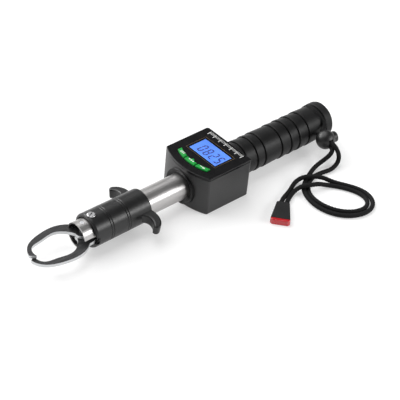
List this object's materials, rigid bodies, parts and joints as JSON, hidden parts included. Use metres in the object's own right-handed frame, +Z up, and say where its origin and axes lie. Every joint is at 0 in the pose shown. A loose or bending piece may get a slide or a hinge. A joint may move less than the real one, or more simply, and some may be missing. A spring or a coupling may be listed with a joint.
{
  "type": "digital fish scale",
  "caption": "Hand-held fish scale: sprung lip-gripper jaws on a steel tube, sliding winged trigger sleeve, digital weighing case, ribbed grip and corded lanyard.",
  "frame": {"origin": "middle of the length, on the surface it lies on", "axes": "+X from the jaws to the handle's end cap, +Z up, display facing up"},
  "size_m": [0.2803, 0.1221, 0.0339],
  "materials": {
    "jaw_steel": "dark brushed",
    "pin_steel": "ground",
    "tube_steel": "polished",
    "alloy": "machined",
    "spring_steel": "drawn wire",
    "screw_steel": "polished",
    "sleeve_black": "black anodised",
    "case_grey": "fine moulded texture",
    "cover_black": "gloss",
    "dark_screw": "black oxide",
    "collar_black": "satin",
    "cell_steel": "nickel",
    "contact_metal": "sprung strip",
    "board_green": "solder mask",
    "keypad_rubber": "moulded",
    "button_green": "gloss",
    "window_clear": "clear",
    "bezel_bronze": "bronze film",
    "panel_blue": "lit blue",
    "holder_white": "moulded",
    "grip_rubber": "matt ribbed",
    "cap_black": "smooth matt",
    "lock_black": "satin",
    "cord_black": "braided polyester",
    "clip_black": "ribbed",
    "clip_red": "gloss"
  },
  "bodies": {
    "scale": {"jaw_pivot_pin": "pin_steel", "main_tube": "tube_steel", "tube_plug": "alloy", "spring_seat": "alloy", "case_body": "case_grey", "case_cover": "cover_black", "case_screws": "dark_screw", "front_collar": "collar_black", "battery_cover": "case_grey", "coin_cell": "cell_steel", "battery_contacts": "contact_metal", "circuit_board": "board_green", "board_screws": "dark_screw", "keypad": "keypad_rubber", "display_window": "window_clear", "display_bezel": "bezel_bronze", "display_panel": "panel_blue", "display_holder": "holder_white", "load_cell": "alloy", "load_cell_screws": "pin_steel", "handle_core": "alloy", "core_plug": "alloy", "rubber_grip": "grip_rubber", "end_cap": "cap_black", "cap_screw": "dark_screw", "cord_lock_body": "lock_black", "lanyard_strand_over": "cord_black", "lanyard_strand_under": "cord_black", "cord_end_upper": "clip_black", "cord_end_lower": "clip_black", "cord_end_insert": "clip_red"},
    "sleeve": {"trigger_sleeve": "sleeve_black", "cam_pin": "pin_steel", "slider_yoke": "alloy", "sleeve_screw_top": "screw_steel", "sleeve_screw_bottom": "screw_steel", "return_spring": "spring_steel"},
    "upper_jaw": {"jaw_upper": "jaw_steel"},
    "lower_jaw": {"jaw_lower": "jaw_steel"},
    "left_button": {"button_left": "button_green"},
    "middle_button": {"button_middle": "button_green"},
    "right_button": {"button_right": "button_green"},
    "lock_plunger": {"cord_lock_plunger": "lock_black", "cord_lock_spring": "spring_steel"}
  },
  "joints": [
    {"name": "sleeve_slide", "type": "slide", "parent": "scale", "child": "sleeve", "axis": [1, 0, 0], "range_m": [0, 0.008], "stiffness_N_per_m": 900, "springref_m": -0.004, "deforming": ["return_spring"]},
    {"name": "upper_jaw_pivot", "type": "hinge", "parent": "scale", "child": "upper_jaw", "pos_m": [-0.096, 0, 0.013], "axis": [0, 0, 1], "range_deg": [-16, 0]},
    {"name": "lower_jaw_pivot", "type": "hinge", "parent": "scale", "child": "lower_jaw", "pos_m": [-0.096, 0, 0.013], "axis": [0, 0, 1], "range_deg": [0, 16]},
    {"name": "left_button_press", "type": "slide", "parent": "scale", "child": "left_button", "axis": [0, 0, -1], "range_m": [0, 0.0006], "stiffness_N_per_m": 1500, "springref_m": -0.0006},
    {"name": "middle_button_press", "type": "slide", "parent": "scale", "child": "middle_button", "axis": [0, 0, -1], "range_m": [0, 0.0006], "stiffness_N_per_m": 1500, "springref_m": -0.0006},
    {"name": "right_button_press", "type": "slide", "parent": "scale", "child": "right_button", "axis": [0, 0, -1], "range_m": [0, 0.0006], "stiffness_N_per_m": 1500, "springref_m": -0.0006},
    {"name": "cord_lock_press", "type": "slide", "parent": "scale", "child": "lock_plunger", "axis": [-0.9903, 0.1392, 0], "range_m": [0, 0.0018], "stiffness_N_per_m": 2500, "springref_m": -0.001, "deforming": ["cord_lock_spring"]}
  ],
  "couplings": [
    {"joint": "upper_jaw_pivot", "follows": "sleeve_slide", "rad_per_m": -34.907},
    {"joint": "lower_jaw_pivot", "follows": "sleeve_slide", "rad_per_m": 34.907}
  ]
}
